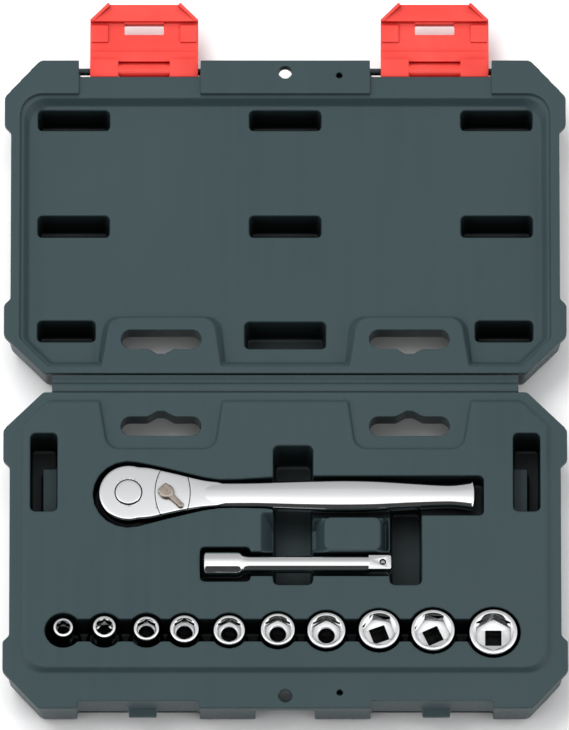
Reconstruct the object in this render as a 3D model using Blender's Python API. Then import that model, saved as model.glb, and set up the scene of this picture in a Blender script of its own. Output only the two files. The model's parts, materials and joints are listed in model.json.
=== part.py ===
"""A quarter-inch-drive socket wrench set in its opened blow-moulded case.

The base half lies on the -Y side and the lid on the +Y side of the hinge line, both flat on the
table. X runs along the hinge, Z is up, and the origin is the centre of the base's underside.
Lengths in this file are in millimetres; new_solid() turns them into metres. A point in a case half
is given as (x, v, z), where v is its distance from the hinge line, so both halves share outlines.
"""
import math

import bmesh
import bpy
from mathutils import Matrix, Vector

MM = 0.001

# Case: driving dimensions
HALF_DEPTH = 141.8            # hinge line to the front edge of either half
HALF_HEIGHT = 25.5            # table to the parting plane
HINGE_Y = HALF_DEPTH / 2
HINGE_Z = HALF_HEIGHT + 0.15  # keeps the closed rims 0.3 apart
WALL = 1.6                    # moulded skin
GAP = 0.3                     # clearance between neighbouring pieces
BASE, LID = -1, 1             # which side of the hinge line a half lies on
PLATFORM_RISE = 2.3           # tool platform above the parting plane
PLATFORM_Z = HALF_HEIGHT + PLATFORM_RISE
PANEL_DROP = 5.4              # lid panel below the parting plane
BEAD_DROP = 1.7               # sealing ledge around the lid panel
ABOVE = HALF_HEIGHT + 12.0    # cutters start clear above everything they cut
BELOW = -3.0

# Latches
LATCH_X = {-1: -57.5, 1: 60.9}   # centre of the left and of the right latch
LATCH_WIDTH = 44.0
NOTCH_INNER_X = 34.5
NOTCH_OUTER_X = 84.0
LATCH_V = 140.2               # latch pin, from the hinge line
LATCH_Z = 16.5                # latch pin, above the table
PIN_RADIUS = 1.5

# Where the tools lie
RATCHET_X = -63.4
RATCHET_V = 49.4
RATCHET_TOP = 29.2
RATCHET_BOTTOM = 18.6
RATCHET_AXIS_Z = (RATCHET_TOP + RATCHET_BOTTOM) / 2
HANDLE_AXIS_Z = RATCHET_AXIS_Z + 0.6
DRIVE = 6.35                  # quarter-inch square drive
EXTENSION_V = 79.4
EXTENSION_Z = PLATFORM_Z - 2.7
EXTENSION_START = -32.9
EXTENSION_LENGTH = 76.2
SOCKET_V = 108.8              # middle of the row of pockets
SOCKET_BOTTOM = 3.8
SOCKET_HEIGHT = 25.0
DRIVE_END_DIAMETER = 11.9
SOCKETS = {                   # hexagon size: (x, v, outer diameter)
    5: (-89.6, 108.0, 8.2), 6: (-73.0, 107.7, 9.5), 7: (-56.0, 108.4, 10.5),
    8: (-40.7, 108.6, 11.9), 9: (-22.6, 109.1, 12.9), 10: (-3.0, 108.8, 14.0),
    11: (16.6, 109.2, 15.6), 12: (37.9, 108.8, 16.8), 13: (59.6, 109.1, 17.8),
    14: (84.0, 109.9, 19.6),
}
SOCKET_TURNS = {12: 20.0, 13: 25.0}  # how far two of the sockets stand turned, in degrees

# Colours, roughness and metallic value of each material
FINISHES = {
    "case_plastic": ((0.075, 0.105, 0.115), 0.48, 0.0),
    "latch_plastic": ((0.85, 0.06, 0.05), 0.35, 0.0),
    "polished_chrome": ((0.80, 0.81, 0.82), 0.08, 1.0),
    "nickel_lever": ((0.55, 0.49, 0.43), 0.30, 1.0),
    "tool_steel": ((0.38, 0.38, 0.40), 0.35, 1.0),
}


# ---------------------------------------------------------------- outlines

def arc_steps(radius):
    """Pieces of a corner's arc: more of them on a wider corner."""
    return 2 if radius < 2.5 else 4 if radius < 5.0 else 6


def rounded_outline(corners):
    """Outline through corners (x, y, radius). A corner given as (x, y) stays sharp."""
    points = []
    for index, corner in enumerate(corners):
        x, y = corner[:2]
        radius = corner[2] if len(corner) > 2 else 0.0
        here = Vector((x, y))
        to_last = (Vector(corners[index - 1][:2]) - here).normalized()
        to_next = (Vector(corners[(index + 1) % len(corners)][:2]) - here).normalized()
        if radius <= 0:
            points.append((x, y))
            continue
        half_angle = to_last.angle(to_next) / 2
        centre = here + (to_last + to_next).normalized() * (radius / math.sin(half_angle))
        start = here + to_last * (radius / math.tan(half_angle)) - centre
        sweep = math.pi - 2 * half_angle
        turn = 1 if to_last.cross(to_next) < 0 else -1
        steps = arc_steps(radius)
        for step in range(steps + 1):
            angle = turn * sweep * step / steps
            spoke = Matrix.Rotation(angle, 2) @ start
            points.append((centre.x + spoke.x, centre.y + spoke.y))
    return points


def mirrored(corners):
    """Corners of a shape with x = 0 as its mirror line, from those of its right side."""
    return corners + [(-x, y, radius) for x, y, radius in reversed(corners)]


def rectangle(x0, x1, y0, y1, radius=0.0):
    return [(x0, y0, radius), (x1, y0, radius), (x1, y1, radius), (x0, y1, radius)]


def circle(x, y, radius, count=24, turn=0.0):
    angles = [turn + 2 * math.pi * i / count for i in range(count)]
    return [(x + radius * math.cos(a), y + radius * math.sin(a)) for a in angles]


def regular_polygon(x, y, across_flats, sides, turn_degrees=0.0):
    radius = across_flats / 2 / math.cos(math.pi / sides)
    return circle(x, y, radius, sides, math.radians(turn_degrees) + math.pi / sides)


def offset_corners(corners, distance):
    """The corners moved outward by distance, or inward where it is negative, keeping radii."""
    points = [corner[:2] for corner in corners]
    count = len(points)
    edges = [(Vector(points[(i + 1) % count]) - Vector(points[i])).normalized() for i in range(count)]
    area = sum(points[i - 1][0] * points[i][1] - points[i][0] * points[i - 1][1] for i in range(count))
    side = 1 if area > 0 else -1
    moved = []
    for i, (x, y) in enumerate(points):
        before = Vector((edges[i - 1].y, -edges[i - 1].x)) * side
        after = Vector((edges[i].y, -edges[i].x)) * side
        shift = (before + after) * (distance / (1 + before.dot(after)))
        moved.append((x + shift.x, y + shift.y, *corners[i][2:]))
    return moved


def smooth_curve(points, steps):
    """Catmull-Rom curve through points of any dimension, with steps pieces between two of them."""
    ends = [points[0]] + points + [points[-1]]
    curve = []
    for i in range(len(points) - 1):
        p0, p1, p2, p3 = (Vector(p) for p in ends[i:i + 4])
        for step in range(steps):
            t = step / steps
            spot = 0.5 * (2 * p1 + (p2 - p0) * t + (2 * p0 - 5 * p1 + 4 * p2 - p3) * t ** 2
                          + (3 * p1 - p0 - 3 * p2 + p3) * t ** 3)
            curve.append(tuple(spot))
    curve.append(tuple(points[-1]))
    return curve


# ---------------------------------------------------------------- solids

def material(name):
    colour, roughness, metallic = FINISHES[name]
    made = bpy.data.materials.get(name) or bpy.data.materials.new(name)
    made.use_nodes = True
    shader = made.node_tree.nodes["Principled BSDF"]
    shader.inputs["Base Color"].default_value = (*colour, 1.0)
    shader.inputs["Roughness"].default_value = roughness
    shader.inputs["Metallic"].default_value = metallic
    made.diffuse_color = (*colour, 1.0)
    return made


def new_solid(name, rings, finish=None, origin=(0.0, 0.0, 0.0)):
    """Closed solid through rings of equal length; its object's origin lies at origin.

    Without a finish the solid is a cutter or a filler for another one.
    """
    mesh_data = bmesh.new()
    layers = [[mesh_data.verts.new((Vector(p) - Vector(origin)) * MM) for p in ring] for ring in rings]
    for low, high in zip(layers, layers[1:]):
        for i in range(len(low)):
            mesh_data.faces.new((low[i - 1], low[i], high[i], high[i - 1]))
    mesh_data.faces.new(layers[0])
    mesh_data.faces.new(layers[-1])
    bmesh.ops.recalc_face_normals(mesh_data, faces=mesh_data.faces)
    mesh = bpy.data.meshes.new(name)
    mesh_data.to_mesh(mesh)
    mesh_data.free()
    body = bpy.data.objects.new(name, mesh)
    body.location = Vector(origin) * MM
    bpy.context.collection.objects.link(body)
    if finish:
        mesh.materials.append(material(finish))
    else:
        body.hide_render = True
        body.display_type = "WIRE"
    return body


def combine(body, operation, *others):
    for other in others:
        step = body.modifiers.new(other.name, "BOOLEAN")
        step.operation = operation
        step.solver = "EXACT"
        step.object = other


def cut(body, *others):
    combine(body, "DIFFERENCE", *others)


def unite(body, *others):
    combine(body, "UNION", *others)


def shade_smooth(body, degrees=35.0):
    body.data.shade_smooth()
    body.data.set_sharp_from_angle(angle=math.radians(degrees))


def prism(name, corners, z0, z1, **options):
    outline = rounded_outline(corners)
    return new_solid(name, [[(x, y, z) for x, y in outline] for z in (z0, z1)], **options)


def block(name, x_range, y_range, z_range, **options):
    return prism(name, rectangle(*x_range, *y_range), *z_range, **options)


def turned(name, profile, centre, axis="Z", count=24, **options):
    """Solid turned about a line through centre, from a profile of (distance along it, radius)."""
    rings = []
    for along, radius in profile:
        spokes = circle(0.0, 0.0, radius, count)
        if axis == "Z":
            ring = [(a, b, along) for a, b in spokes]
        else:
            ring = [(along, a, b) for a, b in spokes]
        rings.append([tuple(Vector(p) + Vector(centre)) for p in ring])
    return new_solid(name, rings, **options)


def ball(name, centre, radius, finish):
    levels = [math.pi * (i + 0.5) / 6 for i in range(6)]
    profile = [(-radius * math.cos(a), radius * math.sin(a)) for a in levels]
    body = turned(name, profile, centre, count=10, finish=finish, origin=centre)
    shade_smooth(body, 60.0)
    return body


def coil_spring(name, centre, axis, start, end, radius, wire, turns, finish):
    """Open helical spring along axis from start to end, made of one closed tube."""
    steps = turns * 8
    along = {"X": Vector((1, 0, 0)), "Z": Vector((0, 0, 1))}[axis]
    side = Vector((0, 1, 0))
    third = along.cross(side)
    rings = []
    for step in range(steps + 1):
        angle = 2 * math.pi * turns * step / steps
        outward = side * math.cos(angle) + third * math.sin(angle)
        middle = Vector(centre) + along * (start + (end - start) * step / steps) + outward * radius
        rings.append([tuple(middle + outward * x + along * y) for x, y in circle(0, 0, wire, 4)])
    body = new_solid(name, rings, finish=finish, origin=centre)
    shade_smooth(body, 80.0)
    return body


# ---------------------------------------------------------------- case halves

CASE_CORNERS = mirrored([
    (98.0, 4.0, 3.0), (114.2, 20.6, 3.0), (114.2, 34.0, 1.5), (111.5, 36.7, 1.5),
    (111.5, 110.0, 1.5), (114.2, 112.7, 1.5), (114.2, 125.6, 3.0), (99.8, HALF_DEPTH, 3.0)])
TRAY_CORNERS = mirrored([
    (96.0, 7.3, 3.0), (107.6, 19.4, 3.0), (107.6, 127.0, 9.0)])
TAB_TOP = [(26.2, 6.5, 0.0), (29.3, 28.5, 5.5), (71.0, 28.5, 5.5), (74.5, 6.5, 0.0)]
TAB_FOOT = [(23.3, 7.0, 0.0), (25.6, 31.0, 6.5), (73.8, 31.0, 6.5), (76.4, 7.0, 0.0)]
TAB_UNDERSIDE = [(25.0, -4.0, 0.0), (74.6, -4.0, 0.0), (74.6, 30.5, 2.0), (25.0, 30.5, 2.0)]
TAB_THICKNESS = 8.3
SHELL_LEVELS = [              # height, and how far the outside stands in from the rim
    (0.0, 8.6), (0.9, 5.9), (3.0, 4.0), (7.0, 2.9), (HALF_HEIGHT - 4.0, 1.6),
    (HALF_HEIGHT - 3.4, 0.2), (HALF_HEIGHT, 0.0)]
HANG_SLOT_X = 50.3
PADLOCK_HOLE = (0.0, 136.4, 2.7)
BLOW_HOLE = (22.0, 135.0, 1.35)


def half_point(side, x, v, z):
    return (x, HINGE_Y + side * v, z)


def layered(name, side, layers, **options):
    """Solid in a case half through layers (height, outline) of equal length."""
    rings = [[half_point(side, x, v, z) for x, v in outline] for z, outline in layers]
    return new_solid(name, rings, **options)


def half_solid(name, side, corners, levels, **options):
    """Solid in a case half from its corners and its levels (height, outward offset)."""
    layers = [(z, rounded_outline(offset_corners(corners, grow))) for z, grow in levels]
    return layered(name, side, layers, **options)


def hang_slot(mirror):
    """Rounded slot with a peak towards the hinge that centres it on a peg."""
    half_width, rear, front = 16.3, 14.9, 23.1
    end = (front - rear) / 2 - 0.05
    corners = [(-half_width, front, end), (-half_width, rear, end), (-5.2, rear, 1.2),
               (-1.4, 12.6, 1.0), (1.4, 12.6, 1.0), (5.2, rear, 1.2),
               (half_width, rear, end), (half_width, front, end)]
    return [(mirror * HANG_SLOT_X + x, v, radius) for x, v, radius in corners]


def shell_body(name, side, origin=(0.0, 0.0, 0.0)):
    levels = [(z, -inset) for z, inset in SHELL_LEVELS]
    return half_solid(name, side, CASE_CORNERS, levels, finish="case_plastic", origin=origin)


def flipped(mirror, corners):
    return [(mirror * x, v, radius) for x, v, radius in corners]


def side_word(mirror):
    return "left" if mirror < 0 else "right"


def shell_hollow(name, side):
    """The air space between the two skins, before the pockets' walls take their share."""
    levels = [(2.2, -8.0), (4.5, -5.8), (8.0, -4.6), (HALF_HEIGHT - 4.5, -3.4),
              (HALF_HEIGHT - WALL, -3.4)]
    return half_solid(name, side, CASE_CORNERS, levels)


def carve(shell, hollow, name, side, corners, levels):
    """Cut a pocket from a shell, and keep a skin of the wall thickness around it.

    The levels run upward; those of a recess in the underside start below the table.
    """
    cut(shell, half_solid(name + "_cut", side, corners, levels))
    thicker = WALL if levels[0][0] < 0 else -WALL
    skin = [(z if z < 0 or z >= HALF_HEIGHT else z + thicker, grow + WALL) for z, grow in levels]
    cut(hollow, half_solid(name + "_skin", side, corners, skin))


def carve_common_openings(shell, hollow, side, label):
    """What both halves have: hang slots through thin tabs, a padlock hole and a moulding hole."""
    for mirror in (-1, 1):
        word = side_word(mirror)
        carve(shell, hollow, f"{label}_tab_underside_{word}", side, flipped(mirror, TAB_UNDERSIDE),
              [(BELOW, 0.0), (HALF_HEIGHT - TAB_THICKNESS, 0.0)])
        carve(shell, hollow, f"{label}_hang_slot_{word}", side, hang_slot(mirror),
              [(BELOW, 0.0), (ABOVE, 0.0)])
    shackle_space = rectangle(-12.0, 12.0, 130.8, HALF_DEPTH + 8.0, 2.0)
    carve(shell, hollow, label + "_shackle_space", side, shackle_space,
          [(BELOW, 0.0), (RIM_UNDERSIDE, 0.0)])
    x, v, radius = PADLOCK_HOLE
    carve(shell, hollow, label + "_padlock", side, circle(x, v, radius, 16), [(BELOW, 0.0), (ABOVE, 0.0)])
    x, v, radius = BLOW_HOLE
    blow = half_solid(label + "_blow_hole", side, circle(x, v, radius, 10),
                      [(HALF_HEIGHT - 2 * WALL, 0.0), (ABOVE, 0.0)])
    cut(shell, blow)


def underside_groove(label, side):
    """Shallow groove that frames the outer face of a half."""
    outer = half_solid(label + "_groove", side, rectangle(-88.0, 88.0, 32.0, 122.0, 10.0),
                       [(BELOW, 0.0), (0.7, -0.4)])
    cut(outer, half_solid(label + "_groove_core", side, rectangle(-84.0, 84.0, 36.0, 118.0, 6.0),
                          [(BELOW - 1.0, 0.4), (1.5, 0.0)]))
    return outer


SOCKET_POCKETS = {            # centre and radius
    size: (x, max(SOCKET_V, v - 0.2), max(7.5, diameter / 2 + 1.2))
    for size, (x, v, diameter) in SOCKETS.items()}
RIM_UNDERSIDE = HALF_HEIGHT - 4.2
HANDLE_FLOOR = 17.6
NOTCH_WALL_V = 138.5          # front wall of the base behind a closed latch
FINGER_RECESS_V = 134.0
FINGER_RECESS_TOP = 13.5
LID_NOTCH_V = 135.2
LID_NOTCH_FLOOR = 10.8
LID_POCKET_FLOOR = 3.8
CATCH_HALF_WIDTH = 5.6
FLAP_TIP_X = 14.7
FLAP_TIP_U = 29.4
TANG_WELL_FLOOR = 9.4
EXTENSION_FLOOR = 19.2
SOCKET_FLOOR = SOCKET_BOTTOM - GAP
SIDE_POCKET_X = (92.0, 103.3)
SIDE_POCKET_FRONT = 57.2
SIDE_POCKET_FLOOR = 9.0
CENTRE_CHANNEL = (-5.4, 11.7)
RIGHT_CHANNEL = (41.8, 55.6)


def ratchet_pocket():
    """Outline of the ratchet's cavity: round the head, waisted at the neck, wide at the grip."""
    head = [(RATCHET_X + 14.4 * math.cos(a), RATCHET_V + 0.3 + 14.4 * math.sin(a))
            for a in [math.radians(75 + 17.5 * i) for i in range(13)]]
    rear = smooth_curve([(head[-1][0], head[-1][1]), (-50.0, 37.9), (-38.0, 41.0), (-27.0, 43.2),
                         (-12.0, 42.6), (2.0, 41.6)], 2)[1:]
    front = smooth_curve([(-2.0, 56.2), (-14.0, 55.6), (-27.0, 55.7), (-38.0, 57.8), (-50.0, 60.9),
                          (head[0][0], head[0][1])], 2)[:-1]
    end = [(80.6 - 2.4 + 2.4 * math.sin(a), 50.2 - math.copysign(6.3, math.cos(a)) - 2.4 * math.cos(a))
           for a in [math.radians(30 * i) for i in (0, 1, 2, 4, 5, 6)]]
    return head + rear + end + [(2.0, 58.9)] + front


def base_pockets():
    """Name, corners and levels (height, outward offset) of each pocket in the tool platform."""
    pockets = []
    for mirror in (-1, 1):
        near, far = sorted(mirror * x for x in SIDE_POCKET_X)
        pockets.append((f"side_pocket_{side_word(mirror)}",
                        rectangle(near, far, 22.8, SIDE_POCKET_FRONT, 1.8),
                        [(SIDE_POCKET_FLOOR, -0.4), (ABOVE, 0.0)]))
    pockets.append(("ratchet_pocket", ratchet_pocket(), [(HANDLE_FLOOR, 0.0), (ABOVE, 0.0)]))
    pockets.append(("tang_well", circle(RATCHET_X, RATCHET_V, 8.0, 20),
                    [(TANG_WELL_FLOOR, 0.0), (ABOVE, 0.0)]))
    pockets.append(("centre_channel", rectangle(*CENTRE_CHANNEL, 28.0, 89.5, 2.0),
                    [(7.0, -1.2), (ABOVE, 0.0)]))
    pockets.append(("right_channel", rectangle(*RIGHT_CHANNEL, 50.0, 89.5, 2.0),
                    [(9.0, -1.0), (ABOVE, 0.0)]))
    pockets.append(("female_end_pocket", rectangle(-34.4, -14.0, 72.6, 87.6, 1.5),
                    [(EXTENSION_FLOOR, 0.0), (ABOVE, 0.0)]))
    pockets.append(("extension_pocket", rectangle(-20.0, 45.0, 74.6, 85.2, 1.5),
                    [(EXTENSION_FLOOR + 0.4, 0.0), (ABOVE, 0.0)]))
    pockets.append(("socket_channel", rectangle(-90.0, 84.0, SOCKET_V - 4.8, SOCKET_V + 4.7),
                    [(12.0, 0.0), (ABOVE, 0.0)]))
    for size, (x, v, radius) in SOCKET_POCKETS.items():
        pockets.append((f"socket_pocket_{size}", circle(x, v, radius, 24),
                        [(SOCKET_FLOOR, 0.0), (ABOVE, 0.0)]))
    return pockets


def raise_island(shell, hollow):
    """Sunken rest between the two long tools, with a block that rises from it to the platform."""
    carve(shell, hollow, "tool_rest", BASE, rectangle(-9.9, 43.5, 57.6, 74.8),
          [(17.5, -4.5), (PLATFORM_Z, 0.0), (ABOVE, 0.3)])
    foot, top = rectangle(12.2, 41.7, 58.0, 74.8, 2.5), rectangle(16.0, 38.4, 59.8, 73.8, 2.5)
    unite(shell, layered("island", BASE, [
        (16.5, rounded_outline(foot)), (PLATFORM_Z, rounded_outline(top))]))


def raise_side_ledge(shell, mirror):
    """Step along the inner wall of a side pocket."""
    near, far = sorted((mirror * (SIDE_POCKET_X[0] - 0.8), mirror * (SIDE_POCKET_X[0] + 6.0)))
    unite(shell, half_solid(f"side_ledge_{side_word(mirror)}", BASE,
                            rectangle(near, far, 34.8, SIDE_POCKET_FRONT + 0.8),
                            [(SIDE_POCKET_FLOOR - 0.8, 0.0), (18.0, 0.0)]))


def carve_base_notch(shell, hollow, mirror):
    """Step in the front wall that a latch closes over, with its catch and a finger recess."""
    word = side_word(mirror)
    near, far = sorted((mirror * NOTCH_INNER_X, mirror * NOTCH_OUTER_X))
    front = HALF_DEPTH + 8.0
    carve(shell, hollow, f"base_notch_{word}", BASE, rectangle(near, far, NOTCH_WALL_V, front),
          [(FINGER_RECESS_TOP, 0.0), (ABOVE, 0.0)])
    carve(shell, hollow, f"finger_recess_{word}", BASE, rectangle(near, far, FINGER_RECESS_V, front),
          [(BELOW, 0.0), (FINGER_RECESS_TOP + 0.01, 0.0)])
    low, high = LATCH_X[mirror] - CATCH_HALF_WIDTH, LATCH_X[mirror] + CATCH_HALF_WIDTH
    profile = [(NOTCH_WALL_V - 1.0, 14.0), (LATCH_V + 1.5, 14.0), (LATCH_V + 1.5, 15.4),
               (NOTCH_WALL_V - 1.0, 20.0)]
    unite(shell, new_solid(f"catch_{word}", [
        [half_point(BASE, x, v, z) for v, z in profile] for x in (low, high)]))


def base_shell():
    shell = shell_body("base_shell", BASE)
    hollow = shell_hollow("base_hollow", BASE)
    unite(shell, half_solid("platform", BASE, TRAY_CORNERS, [
        (HALF_HEIGHT - 1.0, -GAP), (HALF_HEIGHT, -GAP), (PLATFORM_Z, -2.3)]))
    for mirror in (-1, 1):
        cut(shell, half_solid(f"tab_recess_{side_word(mirror)}", BASE, flipped(mirror, TAB_TOP),
                              [(HALF_HEIGHT, 0.4), (ABOVE, 6.4)]))
    for name, corners, levels in base_pockets():
        carve(shell, hollow, name, BASE, corners, levels)
    raise_island(shell, hollow)
    for mirror in (-1, 1):
        raise_side_ledge(shell, mirror)
        carve_base_notch(shell, hollow, mirror)
    carve_common_openings(shell, hollow, BASE, "base")
    cut(shell, underside_groove("base", BASE))
    cut(shell, hollow)
    return shell


def lid_pockets():
    """Corners of the nine pockets whose floors are fused to the lid's outer skin."""
    columns = [(-100.7, -71.3), (-14.7, 14.7), (71.3, 100.7)]
    pockets = []
    for rear, front in ((65.8, 75.4), (112.8, 121.8)):
        pockets += [rectangle(left, right, rear, front, 1.5) for left, right in columns]
    pockets += [rectangle(left, right, 19.9, 29.3, 1.5) for left, right in ((-100.7, -76.9), (76.9, 100.7))]
    pockets.append(rectangle(-16.6, 16.6, 16.9, 28.8, 1.5))
    return pockets


def add_latch_seat(shell, hollow, mirror):
    """Notch in the lid's front wall, its lowered rim, and the moulded pin the latch turns on."""
    word = side_word(mirror)
    near, far = sorted((mirror * NOTCH_INNER_X, mirror * NOTCH_OUTER_X))
    front = HALF_DEPTH + 8.0
    notch = [(near, LID_NOTCH_V + 1.3), (near + 0.7, LID_NOTCH_V), (far - 0.7, LID_NOTCH_V),
             (far, LID_NOTCH_V + 1.3), (far, front), (near, front)]
    carve(shell, hollow, f"lid_notch_{word}", LID, notch, [(LID_NOTCH_FLOOR, 0.0), (ABOVE, 0.0)])
    carve(shell, hollow, f"lid_notch_ledge_{word}", LID, rectangle(near, far, 126.0, front),
          [(HALF_HEIGHT - BEAD_DROP, 0.0), (ABOVE, 0.0)])
    unite(shell, turned(f"latch_pin_{word}", [(near - 1.0, PIN_RADIUS), (far + 1.0, PIN_RADIUS)],
                        (0.0, HINGE_Y + LATCH_V, LATCH_Z), axis="X", count=16))


def lid_shell():
    shell = shell_body("lid_shell", LID, origin=(0.0, HINGE_Y, HINGE_Z))
    hollow = shell_hollow("lid_hollow", LID)
    bead_z = HALF_HEIGHT - BEAD_DROP
    carve(shell, hollow, "lid_bead", LID, TRAY_CORNERS, [(bead_z, 0.0), (ABOVE, 0.0)])
    carve(shell, hollow, "lid_panel", LID, TRAY_CORNERS,
          [(HALF_HEIGHT - PANEL_DROP, -3.7), (bead_z + 0.01, -1.2), (ABOVE, -1.2)])
    for mirror in (-1, 1):
        foot, top = (rounded_outline(flipped(mirror, corners)) for corners in (TAB_FOOT, TAB_TOP))
        unite(shell, layered(f"hang_tab_{side_word(mirror)}", LID,
                             [(HALF_HEIGHT - PANEL_DROP - 0.5, foot), (HALF_HEIGHT, top)]))
    for index, corners in enumerate(lid_pockets()):
        carve(shell, hollow, f"lid_pocket_{index}", LID, corners,
              [(LID_POCKET_FLOOR, -1.0), (HALF_HEIGHT - PANEL_DROP + 0.5, 0.0)])
    for mirror in (-1, 1):
        add_latch_seat(shell, hollow, mirror)
    carve_common_openings(shell, hollow, LID, "lid")
    cut(shell, underside_groove("lid", LID))
    cut(shell, hollow)
    return shell


def living_hinge():
    """Thin web that joins the halves and bends as the lid turns."""
    reach = CASE_CORNERS[0][1] - GAP
    return block("living_hinge", (-94.5, 94.5), (HINGE_Y - reach, HINGE_Y + reach),
                 (HALF_HEIGHT - 2.3, HALF_HEIGHT - 1.3), finish="case_plastic")


# ---------------------------------------------------------------- latches

def latch(mirror):
    """Snap latch, lying open with its inner face up, modelled about its pin."""
    word = side_word(mirror)
    pin = Vector((LATCH_X[mirror], HINGE_Y + LATCH_V, LATCH_Z))
    half = LATCH_WIDTH / 2

    def bar(name, x_range, u_range, w_range, **options):
        ranges = [(low + offset, high + offset)
                  for (low, high), offset in zip((x_range, u_range, w_range), pin)]
        return block(f"{name}_{word}", *ranges, **options)

    body = bar("latch", (-half, half), (1.8, 22.6), (-3.0, -1.0), finish="latch_plastic", origin=pin)
    finger = (half - 11.5, half)
    for side in (-1, 1):
        outer = tuple(sorted(side * x for x in finger))
        unite(body, bar(f"knuckle_{side}", outer, (-3.5, 4.6), (1.8, 3.3)))
        unite(body, bar(f"knuckle_root_{side}", outer, (1.8, 4.6), (-1.5, 2.2)))
        pad = tuple(sorted((side * (half - 7.4), side * (half - 0.6))))
        unite(body, bar(f"side_pad_{side}", pad, (13.4, 21.0), (-1.5, -0.1)))
        unite(body, edge_gusset(f"gusset_{word}_{side}", pin, side))
    unite(body, bar("knuckle_centre", (-finger[0] + GAP, finger[0] - GAP), (-3.5, 2.0), (-3.0, -1.8)))
    unite(body, bar("cross_band", (-half, half), (4.4, 9.0), (-1.5, 0.6)))
    flap = [(-half, 22.0), (half, 22.0), (half, 22.8), (FLAP_TIP_X, FLAP_TIP_U),
            (-FLAP_TIP_X, FLAP_TIP_U), (-half, 22.8)]
    flap_at_pin = [(x + pin.x, u + pin.y) for x, u in flap]
    unite(body, prism(f"flap_{word}", flap_at_pin, pin.z - 1.0, pin.z + 1.2))
    unite(body, bar("flap_riser", (-half, half), (22.0, 23.4), (-3.0, 0.5)))
    unite(body, bar("hook_tongue", (-8.0, 8.0), (21.3, 22.4), (-1.6, 0.0)))
    cut(body, bar("catch_window", (-8.0, 8.0), (16.9, 21.3), (-4.0, 0.5)))
    return body


def edge_gusset(name, pin, side):
    """Rib that rises along a chamfered edge of the latch's pull flap towards its tip."""
    start = Vector((side * LATCH_WIDTH / 2, 22.8))
    tip = Vector((side * FLAP_TIP_X, FLAP_TIP_U))
    along = (tip - start).normalized()
    inward = Vector((-side * abs(along.y), -abs(along.x))) * 1.5
    rings = []
    for spot, rise in ((start + along * 0.4, 1.4), (tip, 3.7)):
        corners = [(spot, 0.5), (spot + inward, 0.5), (spot + inward, rise), (spot, rise)]
        rings.append([(pin.x + p.x, pin.y + p.y, pin.z + w) for p, w in corners])
    return new_solid(name, rings)


# ---------------------------------------------------------------- ratchet

RATCHET_Y = HINGE_Y - RATCHET_V
HEAD_RADIUS = 12.0
GEAR_TEETH = 24
GEAR_TIP_RADIUS = 8.3
GEAR_ROOT_RADIUS = 7.2
GEAR_Z = (20.2, 26.0)
CHAMBER_RADIUS = 9.3
CHAMBER_TOP = 26.4
LEVER_X = -48.0
LEVER_REST_ANGLE = -45.0      # the arm points to the front of the case
PAWL_TILT = -8.0              # the pawl's rest turn, towards its front tooth
BUTTON_RADIUS = 5.25
BUTTON_TOP = 29.7
BUTTON_UNDERSIDE = 27.2
STEM_RADIUS = 0.9
SPRING_SEAT = 22.8
TANG_TIP = 10.6
DRIVE_BALL_Z = 13.8
DRIVE_BALL_RADIUS = 1.2
BALL_PROUD = 0.45             # how far a detent ball stands out of its square
COVER_Z = 27.7


def around_head(points):
    return [(RATCHET_X + x, RATCHET_Y + y) for x, y in points]


def teardrop():
    arc = [(HEAD_RADIUS * math.cos(a), HEAD_RADIUS * math.sin(a))
           for a in [math.radians(80 + 10 * i) for i in range(21)]]
    return around_head(arc + [(12.1, -10.3), (24.7, -7.3), (24.7, 7.3), (12.1, 10.3)])


def handle():
    """Grip from its stations (x, half width, half height), sunk a little into the head's neck."""
    stations = [(-41.0, 7.2, 4.6), (-36.5, 6.5, 4.4), (-32.0, 5.95, 4.2), (-27.0, 5.8, 4.0),
                (-12.0, 5.8, 4.0), (4.0, 6.3, 4.1), (24.0, 6.75, 4.3), (36.0, 6.5, 4.2),
                (50.0, 5.6, 3.9), (62.0, 4.85, 3.5), (67.0, 4.75, 3.45), (73.0, 5.4, 3.65),
                (76.0, 5.95, 3.8), (77.0, 5.4, 3.2), (77.3, 3.4, 1.9)]
    rings = []
    for x, half_width, half_height in smooth_curve(stations, 2):
        rings.append([(x, RATCHET_Y + half_width * a, HANDLE_AXIS_Z + half_height * b)
                      for a, b in circle(0.0, 0.0, 1.0, 14)])
    return new_solid("handle", rings)


def cover_outline(grow, half_width_left, half_width_right):
    """Barrel-shaped plate outline: both its ends bulge outward by 1.4."""
    bulge = 1.4
    left = [(-51.2 - grow - bulge * (1 - t * t), t * half_width_left) for t in (1, 0.5, 0, -0.5, -1)]
    right = [(-39.9 + grow + bulge * (1 - t * t), t * half_width_right) for t in (-1, -0.5, 0, 0.5, 1)]
    return [(x, RATCHET_Y + y) for x, y in left + right]


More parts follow.
